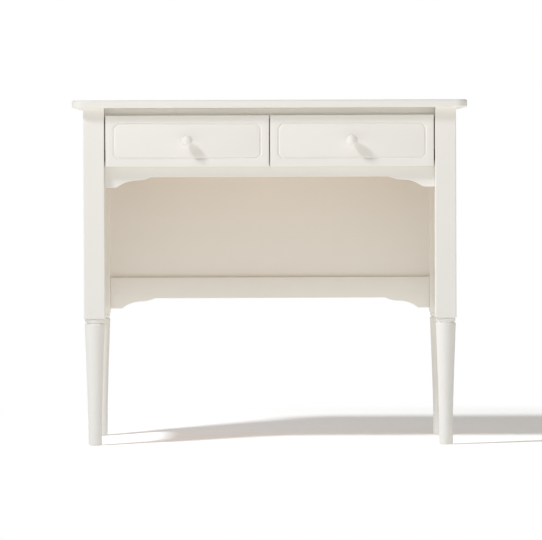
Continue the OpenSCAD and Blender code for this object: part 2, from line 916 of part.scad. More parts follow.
module box_side(x) {
    color("wheat") difference() {
        block(x, box_y, box_z);
        pin_spaces(box_y[0], 1, box_z, over);
        pin_spaces(box_y[1], -1, box_back_z, fit);
        bottom_cut();
    }
}

// The bottom with its clearance, as it is cut from the sides and the box front
module bottom_cut() {
    block(grown(bottom_x, fit), [bottom_y[0] - fit, bottom_y[1] + over], grown(bottom_z, fit));
}

module drawer_box_front() {
    color("wheat") difference() {
        block(box_x, box_front_y, box_z);
        tail_sockets(box_y[0], 1, box_z);
        bottom_cut();
        front_screw_places() screw_hole(front_screw_d, front_screw_l);
        knob_hole();
    }
}

module drawer_back() {
    color("wheat") difference() {
        block(box_x, box_back_y, box_back_z);
        tail_sockets(box_y[1], -1, box_back_z);
        bottom_screw_places() screw_hole(bottom_screw_d, bottom_screw_l);
        catch_screw_place() screw_hole(small_screw_d, catch_screw_l);
    }
}

module drawer_bottom() {
    color("moccasin") difference() {
        block(bottom_x, bottom_y, bottom_z);
        bottom_screw_places() screw_hole(bottom_screw_d, bottom_screw_l);
    }
}

// Turned knob: a foot, a waist and a flattened ball, with a blind hole for its screw
module drawer_knob() {
    neck_a = acos(knob_waist_d / knob_d);
    color("white") difference() {
        knob_place()
            translate([0, 0, box_t + front_t])
                rotate_extrude()
                    polygon(concat(
                        [[0, 0], [knob_foot_d / 2, 0], [knob_foot_d / 2, knob_foot_h]],
                        [[knob_waist_d / 2, knob_foot_h + (knob_foot_d - knob_waist_d) / 2]],
                        [for (a = [-neck_a : arc_step : 90])
                            [knob_d / 2 * cos(a), knob_out + (a < 0 ? knob_d / 2 : knob_crown) * sin(a)]],
                        [[0, knob_out + knob_crown]]
                    ));
        knob_hole();
    }
}

// Machine screw with a broad flat head
module knob_screw() {
    color("silver") knob_place() {
        translate([0, 0, -knob_head_h])
            cylinder(d = knob_head_d, h = knob_head_h);
        cylinder(d = knob_screw_d, h = knob_screw_l);
    }
}

// Axis of the catch's screw, which points to the back
module catch_screw_place() {
    translate([knob_x, catch_y[0], catch_pivot_z])
        rotate([-90, 0, 0])
            children();
}

// Turn button on the drawer back, which meets the rail over the drawers
module drawer_catch() {
    color("peru") difference() {
        translate([knob_x, catch_y[1], 0])
            rotate([90, 0, 0])
                linear_extrude(catch_t) {
                    translate([0, catch_pivot_z]) circle(d = catch_w);
                    translate([0, catch_top - catch_w / 2]) circle(d = catch_w);
                    translate([-catch_w / 2, catch_pivot_z]) square([catch_w, catch_l - catch_w]);
                }
        catch_screw_place() screw_hole(small_screw_d, catch_screw_l);
    }
}

module catch_screw() color("silver") catch_screw_place() screw(small_screw_d, catch_screw_l);
module front_screws() color("silver") front_screw_places() screw(front_screw_d, front_screw_l);
module bottom_screws() color("silver") bottom_screw_places() screw(bottom_screw_d, bottom_screw_l);

module right_drawer_front() drawer_front();
module right_drawer_box_front() drawer_box_front();
module right_drawer_outer_side() box_side(outer_side_x);
module right_drawer_inner_side() box_side(inner_side_x);
module right_drawer_back() drawer_back();
module right_drawer_bottom() drawer_bottom();
module right_knob() drawer_knob();
module right_knob_screw() knob_screw();
module right_front_screws() front_screws();
module right_bottom_screws() bottom_screws();
module right_catch() drawer_catch();
module right_catch_screw() catch_screw();

module left_drawer_front() mirror([1, 0, 0]) drawer_front();
module left_drawer_box_front() mirror([1, 0, 0]) drawer_box_front();
module left_drawer_outer_side() mirror([1, 0, 0]) box_side(outer_side_x);
module left_drawer_inner_side() mirror([1, 0, 0]) box_side(inner_side_x);
module left_drawer_back() mirror([1, 0, 0]) drawer_back();
module left_drawer_bottom() mirror([1, 0, 0]) drawer_bottom();
module left_knob() mirror([1, 0, 0]) drawer_knob();
module left_knob_screw() mirror([1, 0, 0]) knob_screw();
module left_front_screws() mirror([1, 0, 0]) front_screws();
module left_bottom_screws() mirror([1, 0, 0]) bottom_screws();
module left_catch() mirror([1, 0, 0]) drawer_catch();
module left_catch_screw() mirror([1, 0, 0]) catch_screw();

top_board();
front_left_leg();
front_right_leg();
back_left_leg();
back_right_leg();
foot_glides();
front_top_rail();
front_apron();
drawer_divider();
back_top_rail();
runner_rail();
back_panel();
back_lower_rail();
left_top_rail();
right_top_rail();
left_panel();
right_panel();
left_lower_rail();
right_lower_rail();
left_runner();
centre_runner();
right_runner();
left_guide();
centre_guide();
right_guide();
left_kicker();
centre_kicker();
right_kicker();
drawer_stops();
top_screws();
guide_screws();
stop_screws();
left_drawer_front();
left_drawer_box_front();
left_drawer_outer_side();
left_drawer_inner_side();
left_drawer_back();
left_drawer_bottom();
left_knob();
left_knob_screw();
left_front_screws();
left_bottom_screws();
left_catch();
left_catch_screw();
right_drawer_front();
right_drawer_box_front();
right_drawer_outer_side();
right_drawer_inner_side();
right_drawer_back();
right_drawer_bottom();
right_knob();
right_knob_screw();
right_front_screws();
right_bottom_screws();
right_catch();
right_catch_screw();
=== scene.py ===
import math

import bpy
import numpy as np
from mathutils import Euler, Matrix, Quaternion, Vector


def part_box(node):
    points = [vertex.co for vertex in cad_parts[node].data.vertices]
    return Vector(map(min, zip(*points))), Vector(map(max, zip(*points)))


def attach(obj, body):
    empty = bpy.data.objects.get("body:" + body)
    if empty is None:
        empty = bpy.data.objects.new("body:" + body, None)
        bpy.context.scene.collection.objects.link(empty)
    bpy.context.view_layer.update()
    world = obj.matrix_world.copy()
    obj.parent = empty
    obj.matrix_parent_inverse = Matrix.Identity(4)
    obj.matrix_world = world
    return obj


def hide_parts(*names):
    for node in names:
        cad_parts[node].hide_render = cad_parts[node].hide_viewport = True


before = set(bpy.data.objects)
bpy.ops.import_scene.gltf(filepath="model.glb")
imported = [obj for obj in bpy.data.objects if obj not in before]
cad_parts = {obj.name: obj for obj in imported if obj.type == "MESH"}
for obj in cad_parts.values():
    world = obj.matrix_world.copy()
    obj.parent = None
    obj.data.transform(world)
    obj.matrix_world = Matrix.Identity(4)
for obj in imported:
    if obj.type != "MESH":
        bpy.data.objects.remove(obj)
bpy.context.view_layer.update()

# The white writing desk as it looks. The top, the legs, the rails, the drawer fronts and the knobs are drawn
# again in place of their solids, with eased edges and turned, scalloped and routed profiles. The others only
# get a finish. Meshes are worked out in millimetres and made in metres.
MM = 0.001
X, Y, Z = 0, 1, 2

# Edges that bend by more than this stay sharp
SHARP = math.radians(32)


# ---- Meshes worked out on grids ----

def skin(rings, around):
    """Quads between neighbouring rings of a closed tube: corner (i, j) joins (i, j + 1), (i + 1, j + 1)
    and (i + 1, j), and the last point of a ring joins its first."""
    i, j = np.meshgrid(np.arange(rings - 1), np.arange(around), indexing="ij")
    k = (j + 1) % around
    quads = np.stack([i * around + j, i * around + k, (i + 1) * around + k, (i + 1) * around + j], -1)
    return quads.reshape(-1, 4)


def cover(ring, around, upwards):
    """Quads straight across a ring whose points pair up: point j faces point around - 1 - j."""
    j = np.arange(around // 2 - 1)
    quads = np.stack([j, j + 1, around - 2 - j, around - 1 - j], -1) + ring * around
    return quads if upwards else quads[:, ::-1]


def solid(name, grid, material, body, nodes):
    """A closed piece from a grid of rings, (ring, point, xyz) in millimetres, with a cover on its first and
    last ring. Rings turn to the left about the way that they follow each other, so faces point outwards.
    The piece rides on a body and replaces the solids of the named nodes."""
    rings, around = grid.shape[:2]
    faces = np.concatenate([skin(rings, around), cover(0, around, False), cover(rings - 1, around, True)])
    mesh = bpy.data.meshes.new(name)
    mesh.from_pydata((grid * MM).reshape(-1, 3).tolist(), [], faces.tolist())
    mesh.validate()
    mesh.shade_smooth()
    mesh.set_sharp_from_angle(angle=SHARP)
    mesh.materials.append(material)
    made = bpy.data.objects.new(name, mesh)
    bpy.context.scene.collection.objects.link(made)
    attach(made, body)
    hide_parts(*nodes)


def quarter(steps):
    """Cosine and sine over a quarter turn."""
    angle = np.linspace(0, math.pi / 2, steps)
    return np.cos(angle), np.sin(angle)


def moved_in(outline, depth, least=0.3):
    """An outline moved inwards by a depth: each corner goes along the sum of its two edges' normals,
    divided by one plus their product, which keeps both edges at the same distance. The divisor has a least
    value, so that a sharp corner doesn't run away."""
    edge = np.roll(outline, -1, axis=0) - outline
    edge = edge / np.linalg.norm(edge, axis=1, keepdims=True)
    normal = np.stack([-edge[:, 1], edge[:, 0]], -1)
    before = np.roll(normal, 1, axis=0)
    share = 1 + np.sum(normal * before, axis=1, keepdims=True)
    return outline + depth * (normal + before) / np.maximum(share, least)


def round_box(u, v, r, steps=5):
    """A rectangle with round corners, from its lower left corner round to the left: quarter circles of
    radius r about the four corner centres."""
    c, s = quarter(steps)
    lower_left = np.stack([u[0] + r - r * c, v[0] + r - r * s], -1)
    lower_right = np.stack([u[1] - r + r * c[::-1], v[0] + r - r * s[::-1]], -1)
    lower = np.concatenate([lower_left, lower_right])
    upper = lower[::-1] * (1, -1) + (0, v[0] + v[1])
    return np.concatenate([lower, upper])


def plate(outline, span, along, ease, steps=5):
    """A flat piece: an outline in a plane, carried along the third axis over a span. The edges of both
    faces are rounded by a quarter circle of radius ease."""
    c, s = quarter(steps)
    inset = np.concatenate([ease * (1 - s), ease * (1 - s[::-1])])
    height = np.concatenate([span[0] + ease * (1 - c), span[1] - ease * (1 - c[::-1])])
    rings = np.stack([moved_in(outline, d) for d in inset])
    grid = np.empty(rings.shape[:2] + (3,))
    grid[:, :, (along + 1) % 3] = rings[:, :, 0]
    grid[:, :, (along + 2) % 3] = rings[:, :, 1]
    grid[:, :, along] = height[:, None]
    return grid


# ---- Finishes ----

def linear(hex_colour):
    """Linear RGBA of an sRGB hex colour: ((c + 0.055) / 1.055) ** 2.4, or c / 12.92 near black."""
    parts = [int(hex_colour[i:i + 2], 16) / 255 for i in (1, 3, 5)]
    return tuple(c / 12.92 if c <= 0.04045 else ((c + 0.055) / 1.055) ** 2.4 for c in parts) + (1,)


def add(tree, kind, settings=None, **sockets):
    """Adds a node with its settings. A socket goes by its name, or by i and its number, and gets a value or
    a link to (node, output)."""
    made = tree.nodes.new(kind)
    for name, value in (settings or {}).items():
        setattr(made, name, value)
    for name, value in sockets.items():
        numbered = name[0] == "i" and name[1:].isdigit()
        place = made.inputs[int(name[1:]) if numbered else name.replace("_", " ")]
        if isinstance(value, tuple) and isinstance(value[0], bpy.types.Node):
            tree.links.new(place, value[0].outputs[value[1]])
        else:
            place.default_value = value
    return made


def new_material(name):
    """A material with an empty node tree, and that tree."""
    made = bpy.data.materials.new(name)
    made.use_nodes = True
    made.node_tree.nodes.clear()
    return made, made.node_tree


def fibres(tree, along, width, length):
    """Noise drawn out along the grain: its features are width across the grain and length along it."""
    where = add(tree, "ShaderNodeTexCoord")
    scale = [1 / width] * 3
    scale[along] = 1 / length
    drawn = add(tree, "ShaderNodeMapping", Vector=(where, "Object"), Scale=scale)
    return add(tree, "ShaderNodeTexNoise", Vector=(drawn, 0), Scale=1.0, Detail=3.0)


def white_lacquer(name, along):
    """Satin lacquer sprayed on beech: a warm off-white film with a soft sheen. The eye gets faint streaks
    of the grain under it, slow changes of its white, and a spray's fine unevenness. The streaks are drawn
    about three times as wide as beech's flecks, so that they show."""
    made, tree = new_material(name)
    where = add(tree, "ShaderNodeTexCoord")
    cloud = add(tree, "ShaderNodeTexNoise", Vector=(where, "Object"), Scale=1 / (70 * MM), Detail=2.0)
    peel = add(tree, "ShaderNodeTexNoise", Vector=(where, "Object"), Scale=1 / (2.5 * MM), Detail=2.0)
    grain = fibres(tree, along, 1.6 * MM, 45 * MM)
    colour = add(tree, "ShaderNodeMix", {"data_type": "RGBA"}, i0=(cloud, 0),
                 i6=linear("#F5F3EE"), i7=linear("#F7F5F0"))
    sheen = add(tree, "ShaderNodeMapRange", Value=(peel, 0), To_Min=0.50, To_Max=0.58)
    streaks = add(tree, "ShaderNodeBump", Height=(grain, 0), Strength=0.25, Distance=0.05 * MM)
    bump = add(tree, "ShaderNodeBump", Height=(peel, 0), Strength=0.3, Distance=0.02 * MM,
               Normal=(streaks, 0))
    shader = add(tree, "ShaderNodeBsdfPrincipled", Base_Color=(colour, 2), Roughness=(sheen, 0),
                 Normal=(bump, 0))
    add(tree, "ShaderNodeOutputMaterial", Surface=(shader, 0))
    return made


def bare_beech(name, along):
    """Planed beech with a thin coat of oil. The eye gets a pale pinkish brown with broad growth bands, fine
    fibres, and the short dark flecks of the rays. The fibres are drawn about ten times as wide as beech's
    pores, so that they show."""
    made, tree = new_material(name)
    bands = fibres(tree, along, 14 * MM, 320 * MM)
    fine = fibres(tree, along, 0.7 * MM, 18 * MM)
    flecks = fibres(tree, along, 0.45 * MM, 2.4 * MM)
    wood = add(tree, "ShaderNodeMix", {"data_type": "RGBA"}, i0=(bands, 0),
               i6=linear("#C9A27A"), i7=linear("#E3C7A0"))
    veined = add(tree, "ShaderNodeMix", {"data_type": "RGBA", "blend_type": "MULTIPLY"}, i0=(fine, 0),
                 i6=(wood, 2), i7=linear("#E4D2BC"))
    dark = add(tree, "ShaderNodeMapRange", Value=(flecks, 0), From_Min=0.66, From_Max=0.74, To_Max=0.55)
    spotted = add(tree, "ShaderNodeMix", {"data_type": "RGBA"}, i0=(dark, 0), i6=(veined, 2),
                 i7=linear("#A87850"))
    dull = add(tree, "ShaderNodeMapRange", Value=(fine, 0), To_Min=0.48, To_Max=0.62)
    bump = add(tree, "ShaderNodeBump", Height=(fine, 0), Strength=0.4, Distance=0.06 * MM)
    shader = add(tree, "ShaderNodeBsdfPrincipled", Base_Color=(spotted, 2), Roughness=(dull, 0),
                 Normal=(bump, 0))
    add(tree, "ShaderNodeOutputMaterial", Surface=(shader, 0))
    return made


def birch_plywood(name, along, ply):
    """Birch plywood. The eye gets a pale face veneer with long soft grain, and thin darker glue lines
    between the plies along the edge. The fibres are drawn about ten times as wide as birch's pores, so that
    they show."""
    made, tree = new_material(name)
    where = add(tree, "ShaderNodeTexCoord")
    split = add(tree, "ShaderNodeSeparateXYZ", Vector=(where, "Object"))
    flames = fibres(tree, along, 22 * MM, 260 * MM)
    fine = fibres(tree, along, 0.9 * MM, 26 * MM)
    face = add(tree, "ShaderNodeMix", {"data_type": "RGBA"}, i0=(flames, 0),
               i6=linear("#DDBF93"), i7=linear("#EFD9B4"))
    layer = add(tree, "ShaderNodeMath", {"operation": "DIVIDE"}, i0=(split, "Z"), i1=ply)
    part = add(tree, "ShaderNodeMath", {"operation": "FRACT"}, i0=(layer, 0))
    line = add(tree, "ShaderNodeMapRange", Value=(part, 0), From_Min=0.08, From_Max=0.02, To_Max=0.6)
    glued = add(tree, "ShaderNodeMix", {"data_type": "RGBA"}, i0=(line, 0), i6=(face, 2),
                 i7=linear("#8A6238"))
    bump = add(tree, "ShaderNodeBump", Height=(fine, 0), Strength=0.4, Distance=0.05 * MM)
    shader = add(tree, "ShaderNodeBsdfPrincipled", Base_Color=(glued, 2), Roughness=0.55,
                 Normal=(bump, 0))
    add(tree, "ShaderNodeOutputMaterial", Surface=(shader, 0))
    return made


def zinc_steel():
    """Bright zinc-plated steel. The eye gets a cool grey metal, a little uneven from the bath."""
    made, tree = new_material("zinc_steel")
    where = add(tree, "ShaderNodeTexCoord")
    spangle = add(tree, "ShaderNodeTexNoise", Vector=(where, "Object"), Scale=1 / (1.5 * MM), Detail=3.0)
    colour = add(tree, "ShaderNodeMix", {"data_type": "RGBA"}, i0=(spangle, 0),
                 i6=linear("#B9BEC4"), i7=linear("#D3D6D8"))
    dull = add(tree, "ShaderNodeMapRange", Value=(spangle, 0), To_Min=0.28, To_Max=0.45)
    shader = add(tree, "ShaderNodeBsdfPrincipled", Base_Color=(colour, 2), Metallic=1.0,
                 Roughness=(dull, 0))
    add(tree, "ShaderNodeOutputMaterial", Surface=(shader, 0))
    return made


def moulded_nylon():
    """Natural nylon, moulded. The eye gets a milky white with a dull, finely pitted skin. The pits are
    drawn a few times as wide as a mould's own, so that they show."""
    made, tree = new_material("moulded_nylon")
    where = add(tree, "ShaderNodeTexCoord")
    pits = add(tree, "ShaderNodeTexNoise", Vector=(where, "Object"), Scale=1 / (0.6 * MM), Detail=2.0)
    colour = add(tree, "ShaderNodeMix", {"data_type": "RGBA"}, i0=(pits, 0),
                 i6=linear("#DAD6CB"), i7=linear("#E6E3DA"))
    bump = add(tree, "ShaderNodeBump", Height=(pits, 0), Strength=0.4, Distance=0.03 * MM)
    shader = add(tree, "ShaderNodeBsdfPrincipled", Base_Color=(colour, 2), Roughness=0.5, IOR=1.53,
                 Normal=(bump, 0))
    add(tree, "ShaderNodeOutputMaterial", Surface=(shader, 0))
    return made


LACQUER = [white_lacquer("white_lacquer_" + "xyz"[axis], axis) for axis in (X, Y, Z)]
BEECH = [bare_beech("bare_beech_" + "xyz"[axis], axis) for axis in (X, Y, Z)]
PLYWOOD = birch_plywood("birch_plywood", X, 1.33 * MM)
STEEL = zinc_steel()
NYLON = moulded_nylon()


# ---- Sizes that the boxes of the solids don't give, in millimetres ----

# Top: radius of its corners in plan and of its edges
BOARD_CORNER_R, BOARD_EDGE_R = 23, 4

# Posts: radius of their long edges, and the easing of the end where the turning starts
POST_EDGE_R, POST_EASE = 2, 0.8

# Turned feet: height of the turning, and the short neck under the post
TURNED_H, NECK_H = 258, 0.8

# Turned feet: how far the shoulder, the neck and the bead lie inside the post's faces
SHOULDER_CUT, NECK_CUT, BEAD_CUT = 0.9, 3.9, 1.5

# Turned feet: heights of the bead, the groove under it and the rounded shoulder
BEAD_H, GROOVE_H, SHOULDER_H = 7.6, 1.8, 2.5

# Turned feet: radius at the floor and its easing, height of the straight piece, and the taper's power
FOOT_R, FOOT_EASE, FOOT_STRAIGHT_H, TAPER_POWER = 14, 1, 50, 1.25

# Rails: easing of their edges
RAIL_EASE = 1.2

# Scallops: length of the flat end, whole rise, size of the hollow arc, and width of the round arc
SCALLOP_FLAT, SCALLOP_DROP = 24.5, 21.2
HOLLOW_W, HOLLOW_H, ROUND_W = 40.5, 14.6, 28

# Drawer fronts: radius of the face's edge, easing of the back's edge, radius of the corners
FRONT_EDGE_R, FRONT_BACK_EASE, FRONT_CORNER_R = 2, 0.5, 0.8

# Routed line: way in from the edge to its middle, width, depth, corner cut, flat lip, slope at its sides
LINE_INSET, LINE_W, LINE_D, LINE_CLIP = 17.3, 5, 1.8, 8.25
LINE_LIP, LINE_SIDE = 0.3, 0.05

# Knobs: radius of the ball, waist and foot, the foot's height and easing
KNOB_R, KNOB_WAIST_R, KNOB_FOOT_R, KNOB_FOOT_H, KNOB_FOOT_EASE = 11, 5.25, 7, 2, 0.6

# Knobs: way from the drawer front to the ball's middle, and from there to its crown
KNOB_OUT, KNOB_CROWN = 18.5, 10


def box(node):
    """Lowest and highest corner of a node's solids, as arrays in millimetres."""
    low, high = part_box(node)
    return np.array(low) / MM, np.array(high) / MM


# ---- Top board ----

low, high = box("top_board")
outline = round_box((low[0], high[0]), (low[1], high[1]), BOARD_CORNER_R, 17)
grid = plate(outline, (low[2], high[2]), Z, BOARD_EDGE_R, 9)
solid("lacquered_top", grid, LACQUER[X], "frame", ["top_board"])


# ---- Legs ----

def turned_foot(base, half):
    """Radius and height of the turned foot from the floor up: an eased end, a straight piece, a taper that
    grows with a power of the height, a quarter-ellipse shoulder, a groove and a half-round bead."""
    neck = half - NECK_CUT
    bead_z = TURNED_H - NECK_H - BEAD_H
    shoulder_z = bead_z - GROOVE_H - SHOULDER_H
    c, s = quarter(9)
    t = np.linspace(0, 1, 40)
    turn = np.linspace(0, math.pi, 17)
    radius = np.concatenate([
        FOOT_R - FOOT_EASE * (1 - s[::4]),
        FOOT_R + (half - SHOULDER_CUT - FOOT_R) * t ** TAPER_POWER,
        neck + (NECK_CUT - SHOULDER_CUT) * c[1:],
        neck + (NECK_CUT - BEAD_CUT) * np.sin(turn),
    ])
    height = np.concatenate([
        base + FOOT_EASE * (1 - c[::4]),
        FOOT_STRAIGHT_H + (shoulder_z - FOOT_STRAIGHT_H) * t,
        shoulder_z + SHOULDER_H * s[1:],
        bead_z + BEAD_H / 2 * (1 - np.cos(turn)),
    ])
    return radius, height


def leg_angles(half):
    """Angles round the post: close together at its rounded edges, wider apart on its flat faces."""
    edge = math.atan((half - POST_EDGE_R) / half)
    flat = np.linspace(-edge, edge, 19)
    corner = np.linspace(edge, math.pi / 2 - edge, 7)[1:-1]
    return np.concatenate([np.concatenate([flat, corner]) + turn * math.pi / 2 for turn in range(4)])


def square_radius(angle, half, edge_r):
    """Distance from the axis to a square with rounded edges: half over the cosine on a face, and the far
    crossing with the edge's circle at an edge."""
    angle = np.mod(angle + math.pi / 4, math.pi / 2) - math.pi / 4
    centre = (half - edge_r) * math.sqrt(2)
    off = math.pi / 4 - np.abs(angle)
    bend = centre * np.cos(off) + np.sqrt(np.maximum(edge_r ** 2 - (centre * np.sin(off)) ** 2, 0))
    return np.where(np.abs(np.tan(angle)) * half <= half - edge_r, half / np.cos(angle), bend)


def leg_grid(node):
    """A leg: circles up to the bead, then the post's section, moved in along a quarter circle where the
    post begins."""
    low, high = box(node)
    half = (high[0] - low[0]) / 2
    angle = leg_angles(half)
    radius, height = turned_foot(low[2], half)
    c, s = quarter(5)
    ease = np.append(POST_EASE * (1 - s), 0)
    post = np.stack([square_radius(angle, half - e, POST_EDGE_R - e) for e in ease])
    rings = np.concatenate([np.repeat(radius[:, None], angle.size, axis=1), post])
    level = np.concatenate([height, TURNED_H + POST_EASE * (1 - c), [high[2]]])
    centre = (low + high) / 2
    return np.stack([
        centre[0] + rings * np.cos(angle),
        centre[1] + rings * np.sin(angle),
        np.repeat(level[:, None], angle.size, axis=1),
    ], -1)


for node in ("front_left_leg", "front_right_leg", "back_left_leg", "back_right_leg"):
    solid("turned_" + node, leg_grid(node), LACQUER[Z], "frame", [node])


# ---- Rails ----

def arc(w, h, steps):
    """Way along and height of a circular arc that starts level and ends at (w, h): its radius is
    (w * w + h * h) / (2 * h)."""
    radius = (w * w + h * h) / (2 * h)
    angle = np.linspace(0, math.asin(w / radius), steps)
    return radius * np.sin(angle), radius * (1 - np.cos(angle))


def scallop(left, right, low, high):
    """Outline of a scalloped rail, from its lower left corner: a flat, a hollow arc that ends level, a
    round arc that starts level there, the same mirrored at the other end, and a straight upper edge."""
    hollow_x, hollow_z = arc(HOLLOW_W, HOLLOW_H, 17)
    round_x, round_z = arc(ROUND_W, SCALLOP_DROP - HOLLOW_H, 13)
    inner = SCALLOP_FLAT + HOLLOW_W
    x = np.concatenate([[0], inner - hollow_x[::-1], inner + round_x[1:]])
    z = np.concatenate([[0], HOLLOW_H - hollow_z[::-1], HOLLOW_H + round_z[1:]])
    lower = np.stack([np.concatenate([left + x, right - x[::-1]]), np.concatenate([z, z[::-1]]) + low], -1)
    upper = np.stack([lower[::-1, 0], np.full(len(lower), high)], -1)
    return np.concatenate([lower, upper])


def swapped(outline):
    """The same outline with its two coordinates exchanged. Its order is turned round as well, so that it
    still runs to the left, and its points still pair up."""
    return outline[::-1, ::-1]


def straight(left, right, low, high):
    """Outline of a straight rail, from its lower left corner."""
    return np.array([(left, low), (right, low), (right, high), (left, high)])


# Where the rails show: between the posts of the front or back, and between the posts of a side
INNER = box("front_left_leg")[1][0], box("front_right_leg")[0][0]
BAY = box("front_left_leg")[1][1], box("back_left_leg")[0][1]

# Each rail's node, its name, its shape, and the axis through its thickness
RAILS = (
    ("front_apron", "scalloped_apron", scallop, Y),
    ("back_lower_rail", "scalloped_back_rail", scallop, Y),
    ("left_lower_rail", "scalloped_left_rail", scallop, X),
    ("left_top_rail", "frame_rail_left", straight, X),
    ("right_lower_rail", "scalloped_right_rail", scallop, X),
    ("right_top_rail", "frame_rail_right", straight, X),
    ("front_top_rail", "rail_over_drawers", straight, Y),
    ("back_top_rail", "frame_rail_back", straight, Y),
)

for node, name, shape, through in RAILS:
    low, high = box(node)
    if through == Y:
        outline, finish = swapped(shape(*INNER, low[2], high[2])), LACQUER[X]
    else:
        outline, finish = shape(*BAY, low[2], high[2]), LACQUER[Y]
    grid = plate(outline, (low[through], high[through]), through, RAIL_EASE)
    solid(name, grid, finish, "frame", [node])


# ---- Drawer fronts and knobs ----

def clipped_box(u, v, clip, steps):
    """A rectangle with its corners cut off, each cut drawn with a number of points."""
    t = np.linspace(0, 1, steps)
    left = np.stack([u[0] + clip * t, v[0] + clip * (1 - t)], -1)
    right = np.stack([u[1] - clip * (1 - t), v[0] + clip * t], -1)
    lower = np.concatenate([left, right])
    return np.concatenate([lower, lower[::-1] * (1, -1) + (0, v[0] + v[1])])


def front_grid(low, high):
    """A drawer front: round-cornered outlines round its back edge and its front edge, then clipped outlines
    down and up the half-ellipse section of the routed line. A corner cut grows by the difference of its two
    mitres as the line moves outwards."""
    points = 5
    c, s = quarter(points)
    turn = np.linspace(0, math.pi, 15)
    inset = np.concatenate([FRONT_BACK_EASE * (1 - s), FRONT_EDGE_R * (1 - c)])
    level = np.concatenate([high[1] - FRONT_BACK_EASE * (1 - c), low[1] + FRONT_EDGE_R * (1 - s)])
    across = np.concatenate([[LINE_W / 2 + LINE_LIP], LINE_W / 2 * np.cos(turn), [-LINE_W / 2 - LINE_LIP]])
    deep = np.concatenate([[0], LINE_D * np.sin(turn) + LINE_SIDE * np.abs(np.cos(turn)), [0]])
    rounded = [
        round_box((low[2] + i, high[2] - i), (low[0] + i, high[0] - i), FRONT_CORNER_R, points)
        for i in inset
    ]
    clipped = [
        clipped_box((low[2] + i, high[2] - i), (low[0] + i, high[0] - i), clip, points)
        for i, clip in zip(LINE_INSET - across, LINE_CLIP + across * (2 - math.sqrt(2)))
    ]
    flat = np.stack(rounded + clipped)
    level = np.repeat(np.concatenate([level, low[1] + deep])[:, None], flat.shape[1], axis=1)
    grid = np.stack([flat[:, :, 1], level, flat[:, :, 0]], -1)
    return grid[:, ::-1]


def knob_grid(centre, face, steps=72):
    """A turned knob about an axis along Y: its profile goes round by a full turn. The profile is an eased
    foot, a waist that narrows with the cube of the way left, and a flattened ball. Its last ring lies just
    short of the crown, where the cover closes it."""
    c, s = quarter(7)
    foot_r = KNOB_FOOT_R - KNOB_FOOT_EASE * (1 - c)
    foot_h = KNOB_FOOT_H - KNOB_FOOT_EASE * (1 - s)
    neck = math.acos(KNOB_WAIST_R / KNOB_R)
    short = 0.02
    ball = np.linspace(-neck, math.pi / 2 - short, 40)
    ball_r = KNOB_R * np.cos(ball)
    ball_h = KNOB_OUT + np.where(ball < 0, KNOB_R, KNOB_CROWN) * np.sin(ball)
    t = np.linspace(0, 1, 12)[1:-1]
    waist_h = foot_h[-1] + (ball_h[0] - foot_h[-1]) * t
    waist_r = KNOB_WAIST_R + (foot_r[-1] - KNOB_WAIST_R) * (1 - t) ** 3
    radius = np.concatenate([[KNOB_FOOT_R], foot_r, waist_r, ball_r])
    height = np.concatenate([[0], foot_h, waist_h, ball_h])
    angle = np.linspace(0, 2 * math.pi, steps, endpoint=False)
    return np.stack([
        centre[0] + radius[:, None] * np.cos(angle),
        np.repeat(face - height[:, None], steps, axis=1),
        centre[2] + radius[:, None] * np.sin(angle),
    ], -1)


for side in ("left", "right"):
    body = side + "_drawer"
    low, high = box(side + "_drawer_front")
    solid(f"moulded_{side}_front", front_grid(low, high), LACQUER[X], body,
          [side + "_drawer_front"])
    solid(f"turned_{side}_knob", knob_grid((low + high) / 2, low[1]), LACQUER[Z], body,
          [side + "_knob"])


# ---- Finishes of the solids that stay ----

# Nodes whose names don't tell their finish. What is left is beech with its grain from front to back.
KEPT = {
    "back_panel": LACQUER[X], "left_panel": LACQUER[Y], "right_panel": LACQUER[Y],
    "drawer_divider": LACQUER[Z], "foot_glides": NYLON, "runner_rail": BEECH[X],
}
for node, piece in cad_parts.items():
    if "screw" in node:
        finish = STEEL
    elif node.endswith("drawer_bottom"):
        finish = PLYWOOD
    elif node.endswith("_catch"):
        finish = BEECH[Z]
    elif node.endswith(("_box_front", "_drawer_back")):
        finish = BEECH[X]
    else:
        finish = KEPT.get(node, BEECH[Y])
    piece.data.materials.clear()
    piece.data.materials.append(finish)


# ---- Room: camera ----

bpy.context.scene.view_settings.view_transform = "Standard"

# Far in front of the desk with a long lens, a little under its top and tilted down
camera = bpy.data.objects.new("camera", bpy.data.cameras.new("camera"))
bpy.context.scene.collection.objects.link(camera)
bpy.context.scene.camera = camera
camera.data.lens = 345.0
camera.data.clip_end = 100
camera.location = (-0.0065, -10.717, 0.584)
tilt, turn, roll = math.radians(1.2436), math.radians(0.0458), math.radians(0.200)
looking = Euler((math.pi / 2 - tilt, 0, -turn)).to_quaternion()
camera.rotation_mode = "QUATERNION"
camera.rotation_quaternion = looking @ Quaternion((0, 0, 1), -roll)


# ---- Room: a lamp up on the left in front of the desk ----

# Where the lamp stands, in metres. It is two lamps in one place, so that its light on the desk and on the
# floor each has a strength and a softness.
LAMP_PLACE = (-1.16, -1.06, 1.85)
DESK_LAMP, DESK_LAMP_R = (17.0, 16.6, 17.6), 0.17
FLOOR_LAMP, FLOOR_LAMP_R = (31.0, 32.5, 35.5), 0.13


